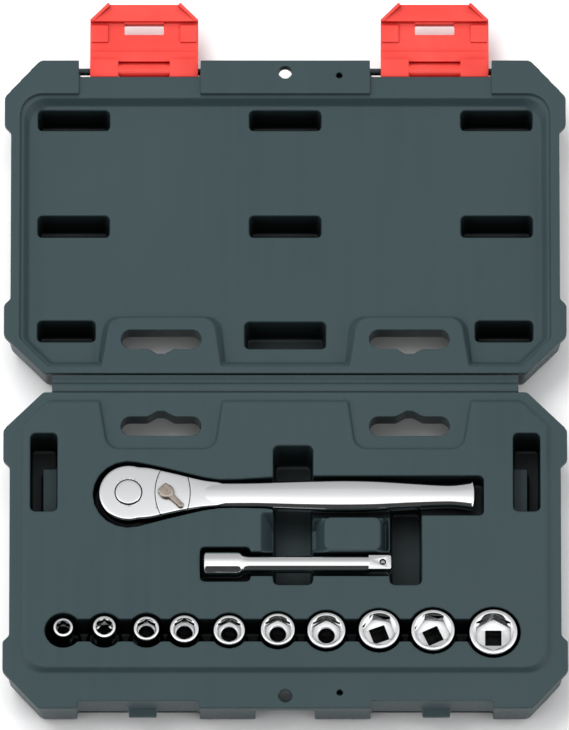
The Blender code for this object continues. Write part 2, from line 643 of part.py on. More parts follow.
def ratchet_body():
    origin = (RATCHET_X, RATCHET_Y, RATCHET_BOTTOM)
    corners = teardrop()
    levels = [(RATCHET_BOTTOM, -1.6), (RATCHET_BOTTOM + 1.2, -0.5), (RATCHET_BOTTOM + 2.6, 0.0),
              (RATCHET_TOP - 0.9, 0.0), (RATCHET_TOP, -0.8)]
    rings = [[(x, y, z) for x, y in offset_corners(corners, grow)] for z, grow in levels]
    body = new_solid("ratchet_body", rings, finish="polished_chrome", origin=origin)
    unite(body, handle())
    head = (RATCHET_X, RATCHET_Y)
    cut(body, prism("gear_chamber", circle(*head, CHAMBER_RADIUS, 24), RATCHET_BOTTOM - 1.0, CHAMBER_TOP))
    cut(body, prism("button_hole", circle(*head, BUTTON_RADIUS + 0.35, 20), 22.0, RATCHET_TOP + 1.0))
    cavity = [(-57.5, -7.4), (-53.0, -7.4), (-46.0, -5.6), (-43.4, -3.9),
              (-43.4, 3.9), (-46.0, 5.6), (-53.0, 7.4), (-57.5, 7.4)]
    cut(body, prism("pawl_cavity", [(x, RATCHET_Y + y) for x, y in cavity], 20.4, CHAMBER_TOP))
    cut(body, prism("cover_recess", cover_outline(GAP, 14.0, 14.0), COVER_Z - GAP, RATCHET_TOP + 1.0))
    cut(body, block("pawl_access", (-51.6, -43.8), (RATCHET_Y - 4.6, RATCHET_Y + 4.6), (25.0, 28.0)))
    cut(body, turned("detent_bore", [(-45.0, 1.5), (-34.5, 1.5)],
                     (0.0, RATCHET_Y, RATCHET_AXIS_Z), axis="X", count=12))
    return body


def ratchet_cover_plate():
    half_widths = (9.8, 7.3)
    rings = [[(x, y, z) for x, y in cover_outline(grow, *(w + grow for w in half_widths))]
             for z, grow in ((COVER_Z, 0.0), (RATCHET_TOP - 0.5, 0.0), (RATCHET_TOP, -0.5))]
    plate = new_solid("ratchet_cover_plate", rings, finish="polished_chrome",
                      origin=(LEVER_X, RATCHET_Y, COVER_Z))
    cut(plate, prism("lever_hole", circle(LEVER_X, RATCHET_Y, 2.4, 16), 22.0, 32.0))
    return plate


def drive_gear():
    """Gear with the square drive tang below it, bored for the button's stem and spring."""
    outline = []
    for tooth in range(GEAR_TEETH):
        for radius, degrees in ((GEAR_ROOT_RADIUS, 0.0), (GEAR_TIP_RADIUS, 6.0), (GEAR_TIP_RADIUS, 9.0)):
            angle = math.radians(360.0 / GEAR_TEETH * tooth + degrees)
            outline.append((radius * math.cos(angle), radius * math.sin(angle)))
    gear = prism("drive_gear", around_head(outline), *GEAR_Z, finish="tool_steel",
                 origin=(RATCHET_X, RATCHET_Y, GEAR_Z[0]))
    half = DRIVE / 2
    levels = [(TANG_TIP, half - 0.8), (TANG_TIP + 0.9, half), (GEAR_Z[0] + 1.0, half)]
    unite(gear, new_solid("tang", [[(x, y, z) for x, y in around_head(
        circle(0.0, 0.0, reach * math.sqrt(2), 4, math.pi / 4))] for z, reach in levels]))
    unite(gear, prism("gear_hub", around_head(circle(0, 0, 4.55, 16)), 19.4, GEAR_Z[0] + 1.0))
    head = (RATCHET_X, RATCHET_Y)
    cut(gear, prism("button_counterbore", circle(*head, BUTTON_RADIUS + 0.35, 20), 24.6, 32.0))
    cut(gear, prism("spring_bore", circle(*head, 3.1, 16), SPRING_SEAT, 32.0))
    cut(gear, prism("stem_bore", circle(*head, STEM_RADIUS + GAP, 12), TANG_TIP - 1.0, 32.0))
    bore = DRIVE_BALL_RADIUS + GAP
    cut(gear, turned("ball_bore", [(RATCHET_X, bore), (RATCHET_X + 9.0, bore)],
                     (0.0, RATCHET_Y, DRIVE_BALL_Z), axis="X", count=10))
    return gear


def drive_retaining_ring():
    ring = prism("drive_retaining_ring", around_head(circle(0, 0, 9.0, 20)), 18.8, 19.9,
                 finish="tool_steel", origin=(RATCHET_X, RATCHET_Y, 18.8))
    cut(ring, prism("ring_hole", around_head(circle(0, 0, 4.95, 20)), 17.0, 22.0))
    return ring


def quick_release_button():
    """Round button whose waisted stem lets the drive ball sink in when it is pressed."""
    neck = DRIVE_BALL_Z + 2.0
    profile = [(DRIVE_BALL_Z - 0.9, STEM_RADIUS), (neck - 0.9, STEM_RADIUS), (neck - 0.8, 0.45),
               (neck + 0.8, 0.45), (neck + 0.9, STEM_RADIUS), (BUTTON_UNDERSIDE, STEM_RADIUS),
               (BUTTON_UNDERSIDE + 0.01, BUTTON_RADIUS), (BUTTON_TOP - 0.4, BUTTON_RADIUS),
               (BUTTON_TOP, BUTTON_RADIUS - 0.5)]
    centre = (RATCHET_X, RATCHET_Y, 0.0)
    return turned("quick_release_button", profile, centre, count=20, finish="polished_chrome",
                  origin=(RATCHET_X, RATCHET_Y, BUTTON_UNDERSIDE))


def about_lever(points, degrees):
    turn = Matrix.Rotation(math.radians(degrees), 2)
    return [(LEVER_X + p.x, RATCHET_Y + p.y) for p in (turn @ Vector(point) for point in points)]


def pawl():
    """Rocker with a tooth at each end; one tooth stands in a gap of the gear's teeth."""
    upper = [(-4.8, 0.0), (-5.0, 2.0), (-6.25, 4.69), (-8.45, 5.0), (-7.7, 5.95), (-5.4, 6.0),
             (-1.5, 4.0), (1.2, 3.4), (3.1, 1.8), (3.5, 0.0)]
    outline = upper + [(x, -y) for x, y in reversed(upper[1:-1])]
    body = prism("pawl", about_lever(outline, PAWL_TILT), 21.0, 26.0, finish="tool_steel",
                 origin=(LEVER_X, RATCHET_Y, 21.0))
    cut(body, prism("pawl_hole", circle(LEVER_X, RATCHET_Y, 2.3, 16), 17.0, 32.0))
    return body


def reversing_lever():
    """Hub, stem and a slim arm; the stem reaches down through the cover plate into the pawl."""
    origin = (LEVER_X, RATCHET_Y, 29.5)
    lever = turned("reversing_lever", [(29.5, 3.1), (30.4, 3.1), (30.8, 2.3)],
                   (LEVER_X, RATCHET_Y, 0.0), count=20, finish="nickel_lever", origin=origin)
    arm = [(-2.6, 2.2), (-2.6, -2.2), (2.0, -2.2), (4.6, -1.0), (9.0, -0.9), (9.4, -0.4), (9.4, 0.4),
           (9.0, 0.9), (4.6, 1.0), (2.0, 2.2)]
    unite(lever, prism("lever_arm", about_lever(arm, LEVER_REST_ANGLE), 29.6, 30.6))
    unite(lever, prism("lever_stem", circle(LEVER_X, RATCHET_Y, 1.95, 12), 21.4, 30.0))
    return lever


def ratchet():
    ratchet_body()
    ratchet_cover_plate()
    drive_gear()
    drive_retaining_ring()
    quick_release_button()
    pawl()
    reversing_lever()
    ball_x = RATCHET_X + DRIVE / 2 + BALL_PROUD - DRIVE_BALL_RADIUS
    ball("drive_detent_ball", (ball_x, RATCHET_Y, DRIVE_BALL_Z), DRIVE_BALL_RADIUS, "tool_steel")
    ball("pawl_detent_ball", (-42.7, RATCHET_Y, RATCHET_AXIS_Z), 1.15, "tool_steel")
    coil_spring("release_spring", (RATCHET_X, RATCHET_Y, 0.0), "Z", SPRING_SEAT + 0.6,
                BUTTON_UNDERSIDE - 0.6, 2.2, 0.25, 3, "tool_steel")
    coil_spring("pawl_detent_spring", (0.0, RATCHET_Y, RATCHET_AXIS_Z), "X", -41.0, -35.1,
                0.85, 0.2, 5, "tool_steel")


# ---------------------------------------------------------------- extension bar

EXTENSION_Y = HINGE_Y - EXTENSION_V
EXTENSION_END = EXTENSION_START + EXTENSION_LENGTH
EXTENSION_BALL_X = 39.4
EXTENSION_BALL_RADIUS = 1.1
FEMALE_SQUARE = 6.6


def square_along_x(x, across):
    corners = circle(0.0, 0.0, across / math.sqrt(2), 4, math.pi / 4)
    return [(x, EXTENSION_Y + a, EXTENSION_Z + b) for a, b in corners]


def extension_bar():
    profile = [(0.0, 4.9), (0.6, 5.35), (14.3, 5.35), (17.4, 3.5), (67.4, 3.5), (68.2, 3.0)]
    bar = turned("extension_bar", [(EXTENSION_START + along, radius) for along, radius in profile],
                 (0.0, EXTENSION_Y, EXTENSION_Z), axis="X", count=20, finish="polished_chrome",
                 origin=(EXTENSION_START, EXTENSION_Y, EXTENSION_Z))
    unite(bar, new_solid("male_square", [
        square_along_x(EXTENSION_END - 9.2, DRIVE), square_along_x(EXTENSION_END - 1.2, DRIVE),
        square_along_x(EXTENSION_END, DRIVE - 1.8)]))
    cut(bar, new_solid("female_square", [
        square_along_x(EXTENSION_START - 1.0, FEMALE_SQUARE), square_along_x(-23.4, FEMALE_SQUARE)]))
    cut(bar, prism("ball_seat", circle(EXTENSION_BALL_X, EXTENSION_Y, EXTENSION_BALL_RADIUS + GAP, 12),
                   EXTENSION_Z - 1.8, EXTENSION_Z + 6.0))
    return bar


def extension():
    extension_bar()
    ball_z = EXTENSION_Z + DRIVE / 2 + BALL_PROUD - EXTENSION_BALL_RADIUS
    ball("extension_detent_ball", (EXTENSION_BALL_X, EXTENSION_Y, ball_z), EXTENSION_BALL_RADIUS,
         "tool_steel")
    coil_spring("extension_ball_spring", (EXTENSION_BALL_X, EXTENSION_Y, 0.0), "Z",
                EXTENSION_Z - 1.2, EXTENSION_Z + 0.8, 0.8, 0.2, 3, "tool_steel")


# ---------------------------------------------------------------- sockets

SQUARE_DEPTH = 9.5
THROUGH_SQUARE_FROM = 12      # from this size the drive square opens straight into the hexagon


def socket(size):
    """Six-point socket, standing on its drive end with the hexagon up."""
    x, v, diameter = SOCKETS[size]
    y = HINGE_Y - v
    nose = diameter / 2
    drive = max(diameter, DRIVE_END_DIAMETER) / 2
    waist = [(11.5, drive), (14.5, nose)] if nose < drive else []
    profile = [(0.0, drive - 0.5), (0.5, drive)] + waist + [
        (SOCKET_HEIGHT - 0.5, nose), (SOCKET_HEIGHT, nose - 0.4)]
    origin = (x, y, SOCKET_BOTTOM)
    body = turned(f"socket_{size}mm", profile, origin, count=24, finish="polished_chrome", origin=origin)
    turn = SOCKET_TURNS.get(size, 0.0)
    hexagon_floor = SOCKET_BOTTOM + SOCKET_HEIGHT - max(4.6, 0.52 * size)
    through = size >= THROUGH_SQUARE_FROM
    square_top = hexagon_floor + 0.5 if through else SOCKET_BOTTOM + SQUARE_DEPTH
    top = SOCKET_BOTTOM + SOCKET_HEIGHT + 1.0
    hexagon = regular_polygon(x, y, size + 0.15, 6, turn)
    cut(body, prism(f"hexagon_{size}", hexagon, hexagon_floor, top))
    square = regular_polygon(x, y, FEMALE_SQUARE, 4, turn)
    cut(body, prism(f"square_{size}", square, 0.0, square_top))
    if not through:
        bore = circle(x, y, min(0.44 * size, 3.0), 16)
        cut(body, prism(f"bore_{size}", bore, 8.0, hexagon_floor + 0.5))
    shade_smooth(body)
    return body


# ---------------------------------------------------------------- the whole set

def clear_scene():
    for existing in list(bpy.data.objects):
        bpy.data.objects.remove(existing, do_unlink=True)


def build():
    clear_scene()
    base_shell()
    lid_shell()
    living_hinge()
    for mirror in (-1, 1):
        latch(mirror)
    ratchet()
    extension()
    for size in SOCKETS:
        socket(size)


build()
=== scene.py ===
"""Looks of a socket wrench set in its opened case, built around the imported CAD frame.

Lengths in the shape functions are millimetres, as in the CAD; new_piece() turns them into metres.
X runs along the case's hinge, the lid lies on the +Y side, and the camera looks from -Y.
"""
import json
import math

import bmesh
import bpy
from mathutils import Matrix, Vector


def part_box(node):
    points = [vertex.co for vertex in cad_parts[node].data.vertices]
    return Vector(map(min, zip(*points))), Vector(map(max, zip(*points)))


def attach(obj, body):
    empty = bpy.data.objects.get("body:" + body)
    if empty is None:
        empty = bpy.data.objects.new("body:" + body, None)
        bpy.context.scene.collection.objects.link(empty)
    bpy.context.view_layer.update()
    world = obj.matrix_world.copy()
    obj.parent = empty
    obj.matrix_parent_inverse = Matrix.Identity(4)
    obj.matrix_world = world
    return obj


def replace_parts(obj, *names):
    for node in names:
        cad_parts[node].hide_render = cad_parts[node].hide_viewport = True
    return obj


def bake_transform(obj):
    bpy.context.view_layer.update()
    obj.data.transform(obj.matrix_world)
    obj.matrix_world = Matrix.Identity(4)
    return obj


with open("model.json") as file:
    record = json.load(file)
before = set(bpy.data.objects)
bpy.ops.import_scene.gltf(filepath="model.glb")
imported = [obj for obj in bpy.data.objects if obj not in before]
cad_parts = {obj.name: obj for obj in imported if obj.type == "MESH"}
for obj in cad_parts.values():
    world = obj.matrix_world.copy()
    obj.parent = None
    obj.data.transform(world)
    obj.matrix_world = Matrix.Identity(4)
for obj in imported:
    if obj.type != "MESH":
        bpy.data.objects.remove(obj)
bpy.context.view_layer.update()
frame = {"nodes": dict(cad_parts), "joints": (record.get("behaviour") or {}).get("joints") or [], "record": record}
RECORD = frame["record"]
MM = 0.001


def joint_place(name):
    """Where a joint's axis passes, in millimetres."""
    place = next(joint["pos_m"] for joint in frame["joints"] if joint["name"] == name)
    return [c / MM for c in place]


HINGE_Y = joint_place("lid_hinge")[1]
PARTING_Z = 25.5  # where the closed halves meet


def low_high(node):
    """Lowest and highest corner of a CAD node, in millimetres."""
    low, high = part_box(node)
    return [c / MM for c in low], [c / MM for c in high]


def middle(node):
    """Centre of a CAD node's box, in millimetres."""
    low, high = low_high(node)
    return [(a + b) / 2 for a, b in zip(low, high)]


# ---------------------------------------------------------------- outlines

def circle(x, y, radius, count, turn=0.0):
    """Points on a circle; turn, in radians, is where the first one lies."""
    angles = [turn + 2 * math.pi * i / count for i in range(count)]
    return [(x + radius * math.cos(a), y + radius * math.sin(a)) for a in angles]


def arc(x, y, radius, start, end, steps):
    """Points on an arc from start to end, in degrees."""
    angles = [math.radians(start + (end - start) * i / steps) for i in range(steps + 1)]
    return [(x + radius * math.cos(a), y + radius * math.sin(a)) for a in angles]


def rounded_polygon(corners, radius, steps=6):
    """Convex outline through corners, each rounded by an arc."""
    points = []
    for index, corner in enumerate(corners):
        here = Vector(corner)
        to_last = (Vector(corners[index - 1]) - here).normalized()
        to_next = (Vector(corners[(index + 1) % len(corners)]) - here).normalized()
        half_angle = to_last.angle(to_next) / 2
        centre = here + (to_last + to_next).normalized() * (radius / math.sin(half_angle))
        start = here + to_last * (radius / math.tan(half_angle)) - centre
        sweep = math.pi - 2 * half_angle
        turn = 1 if to_last.cross(to_next) < 0 else -1
        for step in range(steps + 1):
            spoke = Matrix.Rotation(turn * sweep * step / steps, 2) @ start
            points.append(tuple(centre + spoke))
    return points


def inset(outline, distance):
    """The closed counter-clockwise outline moved inward by distance."""
    sharpest = 0.4
    count = len(outline)
    moved = []
    for i, point in enumerate(outline):
        before = (Vector(point) - Vector(outline[i - 1])).normalized()
        after = (Vector(outline[(i + 1) % count]) - Vector(point)).normalized()
        normal = Vector((-before.y - after.y, before.x + after.x)).normalized()
        stretch = max(normal.dot(Vector((-before.y, before.x))), sharpest)
        moved.append(tuple(Vector(point) + normal * distance / stretch))
    return moved


def smooth_curve(points, steps):
    """Catmull-Rom curve through points of any dimension, with steps pieces between two of them."""
    ends = [points[0]] + points + [points[-1]]
    curve = []
    for i in range(len(points) - 1):
        p0, p1, p2, p3 = (Vector(p) for p in ends[i:i + 4])
        for step in range(steps):
            t = step / steps
            curve.append(tuple(0.5 * (2 * p1 + (p2 - p0) * t + (2 * p0 - 5 * p1 + 4 * p2 - p3) * t ** 2
                                      + (3 * p1 - p0 - 3 * p2 + p3) * t ** 3)))
    curve.append(tuple(points[-1]))
    return curve


def fillet_profile(z_edge, radius, steps):
    """(height, inset) pairs of a rounded edge that rises to z_edge."""
    pairs = []
    for i in range(steps + 1):
        a = math.pi / 2 * i / steps
        pairs.append((z_edge - radius * (1 - math.sin(a)), radius * (1 - math.cos(a))))
    return pairs


# ---------------------------------------------------------------- meshes

def new_piece(name, rings):
    """Object lofted through rings of equal length, with flat ends."""
    mesh_data = bmesh.new()
    layers = [[mesh_data.verts.new(Vector(p) * MM) for p in ring] for ring in rings]
    for low, high in zip(layers, layers[1:]):
        for i in range(len(low)):
            mesh_data.faces.new((low[i - 1], low[i], high[i], high[i - 1]))
    mesh_data.faces.new(layers[0])
    mesh_data.faces.new(layers[-1])
    bmesh.ops.recalc_face_normals(mesh_data, faces=mesh_data.faces)
    mesh = bpy.data.meshes.new(name)
    mesh_data.to_mesh(mesh)
    mesh_data.free()
    return link(name, mesh)


def link(name, mesh):
    """New object in the scene from a mesh."""
    made = bpy.data.objects.new(name, mesh)
    bpy.context.scene.collection.objects.link(made)
    return made


def ring_at(outline, z, shrink):
    """The outline at height z, moved inward by shrink."""
    return [(x, y, z) for x, y in (inset(outline, shrink) if shrink else outline)]


def prism(name, outline, levels):
    """Solid from an outline and its levels, each a height or (height, inset)."""
    rings = []
    for level in levels:
        z, shrink = level if isinstance(level, tuple) else (level, 0.0)
        rings.append(ring_at(outline, z, shrink))
    return new_piece(name, rings)


def turned(name, profile, centre, axis="Z", count=72):
    """Solid turned about a line through centre, from a profile of (distance along it, radius)."""
    rings = []
    for along, radius in profile:
        spokes = circle(0.0, 0.0, radius, count)
        ring = [(a, b, along) if axis == "Z" else (along, a, b) for a, b in spokes]
        rings.append([tuple(Vector(p) + Vector(centre)) for p in ring])
    return new_piece(name, rings)


def bake(body):
    """Turns the object's modifiers into plain mesh."""
    graph = bpy.context.evaluated_depsgraph_get()
    mesh = bpy.data.meshes.new_from_object(body.evaluated_get(graph))
    body.modifiers.clear()
    body.data = mesh
    return body


def combine(body, operation, *others):
    """Applies a Boolean with each other object, which is then removed."""
    for other in others:
        step = body.modifiers.new(other.name, "BOOLEAN")
        step.operation = operation
        step.solver = "EXACT"
        step.object = other
        bake(body)
        bpy.data.objects.remove(other)
    return body


def cut(body, *others):
    """Takes the others away from the body."""
    return combine(body, "DIFFERENCE", *others)


def unite(body, *others):
    """Joins the others to the body."""
    return combine(body, "UNION", *others)


def add_bevel(body, width):
    """Two-step bevel, width millimetres wide, on every edge sharper than 30 degrees."""
    bevel = body.modifiers.new("edge_bevel", "BEVEL")
    bevel.width = width * MM
    bevel.segments = 2
    bevel.limit_method = "ANGLE"
    bevel.angle_limit = math.radians(30.0)


def shade_smooth(body, sharp_angle):
    """Smooth shading, broken at edges sharper than sharp_angle degrees."""
    body.data.shade_smooth()
    body.data.set_sharp_from_angle(angle=math.radians(sharp_angle))


def soften_edges(body, width):
    """Small bevel on every sharp edge, and smooth shading over it."""
    add_bevel(body, width)
    bake(body)
    shade_smooth(body, 50.0)
    return body


def melted(body, voxel, rounds, triangles):
    """Remeshes a body at voxel size, smooths it by a few rounds and thins it to about triangles."""
    remesh = body.modifiers.new("skin", "REMESH")
    remesh.mode = "VOXEL"
    remesh.voxel_size = voxel * MM
    relax = body.modifiers.new("relax", "SMOOTH")
    relax.factor = 0.5
    relax.iterations = rounds
    bake(body)
    faces = 2 * len(body.data.polygons)
    if faces > triangles:
        thin = body.modifiers.new("thin", "DECIMATE")
        thin.ratio = triangles / faces
        bake(body)
    body.data.shade_smooth()
    return body


# ---------------------------------------------------------------- materials

SLOTS = {part["node"]: part["material_slot"] for part in RECORD["subparts"]}
BODIES = {node: body for body, nodes in RECORD["behaviour"]["bodies"].items() for node in nodes}


class Nodes:
    """Short way to build a material's node tree."""

    def __init__(self, name, colour, roughness, metallic=0.0):
        self.material = bpy.data.materials.new(name)
        self.material.use_nodes = True
        self.material.diffuse_color = (*colour, 1.0)
        self.tree = self.material.node_tree
        self.shader = self.tree.nodes["Principled BSDF"]
        self.shader.inputs["Base Color"].default_value = (*colour, 1.0)
        self.shader.inputs["Roughness"].default_value = roughness
        self.shader.inputs["Metallic"].default_value = metallic
        self.place = self.tree.nodes.new("ShaderNodeTexCoord").outputs["Object"]

    def noise(self, scale, detail=3.0, stretch=(1.0, 1.0, 1.0)):
        """Noise over the object; scale counts its waves per metre, stretch multiplies them by axis."""
        mapping = self.tree.nodes.new("ShaderNodeMapping")
        mapping.inputs["Scale"].default_value = stretch
        self.tree.links.new(self.place, mapping.inputs["Vector"])
        noise = self.tree.nodes.new("ShaderNodeTexNoise")
        noise.inputs["Scale"].default_value = scale
        noise.inputs["Detail"].default_value = detail
        self.tree.links.new(mapping.outputs["Vector"], noise.inputs["Vector"])
        return noise.outputs["Fac"]

    def remap(self, value, low, high, start=0.3, end=0.7):
        """Value that runs from low to high while the given one runs from start to end."""
        node = self.tree.nodes.new("ShaderNodeMapRange")
        node.inputs["From Min"].default_value = start
        node.inputs["From Max"].default_value = end
        node.inputs["To Min"].default_value = low
        node.inputs["To Max"].default_value = high
        self.tree.links.new(value, node.inputs["Value"])
        return node.outputs["Result"]

    def blend(self, value, first, second):
        """Colour that goes from first to second with value; either may be a socket."""
        node = self.tree.nodes.new("ShaderNodeMix")
        node.data_type = "RGBA"
        self.tree.links.new(value, node.inputs["Factor"])
        for key, colour in (("A", first), ("B", second)):
            socket = next(s for s in node.inputs if s.name == key and s.type == "RGBA")
            if isinstance(colour, tuple):
                socket.default_value = (*colour, 1.0)
            else:
                self.tree.links.new(colour, socket)
        return next(s for s in node.outputs if s.type == "RGBA")

    def bump(self, *layers):
        """Stacks bumps, each (height value, strength, depth in metres)."""
        normal = None
        for height, strength, depth in layers:
            node = self.tree.nodes.new("ShaderNodeBump")
            node.inputs["Strength"].default_value = strength
            node.inputs["Distance"].default_value = depth
            self.tree.links.new(height, node.inputs["Height"])
            if normal:
                self.tree.links.new(normal, node.inputs["Normal"])
            normal = node.outputs["Normal"]
        self.tree.links.new(normal, self.shader.inputs["Normal"])

    def painted_crevice_shade(self, colour, reach, shut, clear, shade=(0.0, 0.0, 0.0)):
        """Paints shade into a colour where walls within reach, in metres, close the surface in.

        It is all shade where only the share shut of the view is open, and all colour from clear up.
        """
        # painted shade: ambient occlusion darkens the colour in hollows, seams and gaps
        node = self.tree.nodes.new("ShaderNodeAmbientOcclusion")
        node.inputs["Distance"].default_value = reach
        return self.blend(self.remap(node.outputs["AO"], 0.0, 1.0, shut, clear), shade, colour)

    def feed(self, socket, value):
        """Links a value to one of the shader's inputs."""
        self.tree.links.new(value, self.shader.inputs[socket])


def case_plastic():
    """Slate-coloured blow-moulded polyethylene: fine grain, faint flow streaks along Y, and painted shade in its
    hollows.
    """
    made = Nodes("case_plastic", (0.026, 0.046, 0.052), 0.46)
    made.shader.inputs["Specular IOR Level"].default_value = 0.28
    streaks = made.remap(made.noise(260.0, 3.0, (1.0, 0.035, 1.0)), 0.0, 1.0)
    clouds = made.remap(made.noise(16.0, 4.0), 0.0, 1.0)
    base = made.blend(clouds, (0.028, 0.049, 0.055), (0.036, 0.058, 0.064))
    surface = made.blend(streaks, base, (0.034, 0.056, 0.060))
    # painted shade: ambient occlusion darkens the plastic in pockets, corners and at the foot of steps
    made.feed("Base Color", made.painted_crevice_shade(surface, reach=0.02, shut=0.1, clear=0.75))
    made.feed("Roughness", made.remap(made.noise(900.0, 3.0), 0.42, 0.54))
    made.bump((made.noise(2600.0, 2.0), 0.22, 0.00012), (made.noise(70.0, 2.0), 0.12, 0.0008))
    return made.material


def latch_plastic():
    """Red moulded polypropylene with faint flow clouds, a soft gloss and painted dark-red shade in its creases."""
    made = Nodes("latch_plastic", (0.84, 0.055, 0.040), 0.34)
    clouds = made.remap(made.noise(60.0, 3.0), 0.0, 1.0)
    surface = made.blend(clouds, (0.70, 0.040, 0.028), (0.78, 0.062, 0.046))
    # painted shade: ambient occlusion darkens the red toward dark red in creases and between the knuckles
    made.feed("Base Color", made.painted_crevice_shade(surface, reach=0.004, shut=0.3, clear=0.95,
                                          shade=(0.42, 0.0, 0.0)))
    made.feed("Roughness", made.remap(made.noise(700.0, 3.0), 0.28, 0.42))
    made.bump((made.noise(1800.0, 2.0), 0.15, 0.00008))
    return made.material


def polished_chrome():
    """Bright chrome plate: mirror-smooth, with faint haze, buffing waves and painted shade in its seams and gaps.
    """
    chrome = (0.86, 0.87, 0.875)
    made = Nodes("polished_chrome", chrome, 0.06, 1.0)
    # painted shade: ambient occlusion darkens the chrome in seams, narrow gaps and holes
    made.feed("Base Color", made.painted_crevice_shade(chrome, reach=0.003, shut=0.25, clear=0.85))
    made.feed("Roughness", made.remap(made.noise(320.0, 4.0), 0.045, 0.12))
    buffing_lines = made.noise(3000.0, 2.0, (0.12, 1.0, 1.0))
    made.bump((made.noise(150.0, 2.0), 0.05, 0.0003), (buffing_lines, 0.04, 0.00003))
    return made.material


def nickel_lever():
    """Warm satin nickel of the cast lever."""
    made = Nodes("nickel_lever", (0.50, 0.44, 0.38), 0.28, 1.0)
    made.feed("Base Color", made.blend(made.remap(made.noise(900.0, 3.0), 0.0, 1.0),
                                       (0.34, 0.29, 0.24), (0.50, 0.44, 0.38)))
    made.feed("Roughness", made.remap(made.noise(1500.0, 3.0), 0.22, 0.40))
    made.bump((made.noise(1400.0, 3.0), 0.25, 0.00012))
    return made.material


def tool_steel():
    """Ground steel of the gear, pawl, balls and springs, with fine machining lines."""
    made = Nodes("tool_steel", (0.40, 0.40, 0.42), 0.30, 1.0)
    made.feed("Roughness", made.remap(made.noise(1200.0, 3.0), 0.22, 0.38))
    made.bump((made.noise(4000.0, 2.0, (1.0, 1.0, 0.1)), 0.12, 0.00005))
    return made.material


MATERIALS = {make.__name__: make() for make in (
    case_plastic, latch_plastic, polished_chrome, nickel_lever, tool_steel)}


def paint(body, slot):
    """Gives the object the slot's material, and no other."""
    body.data.materials.clear()
    body.data.materials.append(MATERIALS[slot])


def stand_for(body, node):
    """The finished piece takes a CAD node's place, body, slot and material."""
    paint(body, SLOTS[node])
    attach(body, BODIES[node])
    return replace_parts(body, node)


# ---------------------------------------------------------------- case

BLOW_HOLE_X = 22.0
BLOW_HOLE_V = 135.0
BLOW_HOLE_RADIUS = 1.35
BLOW_HOLE_DEPTH = 4.0


def connected_to(start):
    """The start vertex and all vertices that edges join to it."""
    seen = {start}
    waiting = [start]
    while waiting:
        for edge in waiting.pop().link_edges:
            for vertex in edge.verts:
                if vertex not in seen:
                    seen.add(vertex)
                    waiting.append(vertex)
    return seen


def close_hole(skin):
    """Closes the one open rim of the skin with a short blind tube that goes down."""
    rim = [edge for edge in skin.edges if edge.is_boundary]
    tube = bmesh.ops.extrude_edge_only(skin, edges=rim)["geom"]
    bmesh.ops.translate(skin, verts=[g for g in tube if isinstance(g, bmesh.types.BMVert)],
                        vec=(0.0, 0.0, -BLOW_HOLE_DEPTH * MM))
    bmesh.ops.holes_fill(skin, edges=[g for g in tube if isinstance(g, bmesh.types.BMEdge)], sides=0)


def outer_skin(node, side):
    """Copy of a shell's outer skin, with the blow-moulding hole closed by a short blind tube."""
    skin = bmesh.new()
    skin.from_mesh(frame["nodes"][node].data)
    bmesh.ops.remove_doubles(skin, verts=skin.verts, dist=1e-6)
    x, y = BLOW_HOLE_X * MM, (HINGE_Y + side * BLOW_HOLE_V) * MM
    reach = (BLOW_HOLE_RADIUS + 0.05) * MM
    tube = [face for face in skin.faces
            if all(math.hypot(v.co.x - x, v.co.y - y) < reach for v in face.verts)]
    bmesh.ops.delete(skin, geom=tube, context="FACES")
    outer = connected_to(min(skin.verts, key=lambda v: v.co.z))
    bmesh.ops.delete(skin, geom=[v for v in skin.verts if v not in outer], context="VERTS")
    close_hole(skin)
    bmesh.ops.recalc_face_normals(skin, faces=skin.faces)
    mesh = bpy.data.meshes.new(node + "_skin")
    skin.to_mesh(mesh)
    skin.free()
    return mesh


def case_half(name, node, side):
    """One half's outer skin with rounded edges; side is -1 for the base and 1 for the lid."""
    half = link(name, outer_skin(node, side))
    stand_for(melted(half, voxel=0.5, rounds=4, triangles=190000), node)


WEB_HALF_WIDTH = 94.5
WEB_THICKNESS = 0.9
WEB_PIECES = 60


def hinge_web():
    """Web that joins the halves: a raised band on the base's side and a sunk one at the lid."""
    top = smooth_curve([(-3.8, -0.9), (-3.0, -0.5), (-1.8, -0.4), (-0.7, -0.6), (0.0, -1.3),
                        (0.7, -2.3), (1.6, -2.4), (3.0, -1.7), (3.8, -1.4)], 3)
    outline = top + [(y, z - WEB_THICKNESS) for y, z in reversed(top)]
    stations = [WEB_HALF_WIDTH * (2 * i / WEB_PIECES - 1) for i in range(WEB_PIECES + 1)]
    web = new_piece("hinge_web", [
        [(x, HINGE_Y + y, PARTING_Z + z) for y, z in outline] for x in stations])
    soften_edges(web, 0.15)
    paint(web, "case_plastic")
    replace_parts(web, "living_hinge")
    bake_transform(web)


PIN_CLIP_HALF_WIDTH = 10.2
PIN_CLIP_RADII = (1.85, 3.1)
PIN_CLIP_SWEEP = (-35.0, 215.0)


def pin_clip(name, pin):
    """Open sleeve between a latch's knuckles that snaps over the lid's pin."""
    inner, outer = (arc(0.0, 0.0, radius, *PIN_CLIP_SWEEP, 32) for radius in PIN_CLIP_RADII)
    section = outer + inner[::-1]
    return new_piece(name, [[(pin[0] + x, pin[1] + u, pin[2] + w) for u, w in section]
                            for x in (-PIN_CLIP_HALF_WIDTH, PIN_CLIP_HALF_WIDTH)])


def latches():
    """The latches with softened edges, each with the clip that holds it on its pin."""
    for word in ("left", "right"):
        node = f"latch_{word}"
        body = link(f"snap_latch_{word}", frame["nodes"][node].data.copy())
        unite(body, pin_clip(f"pin_clip_{word}", joint_place(f"{node}_hinge")))
        stand_for(melted(body, voxel=0.25, rounds=3, triangles=120000), node)


# ---------------------------------------------------------------- ratchet

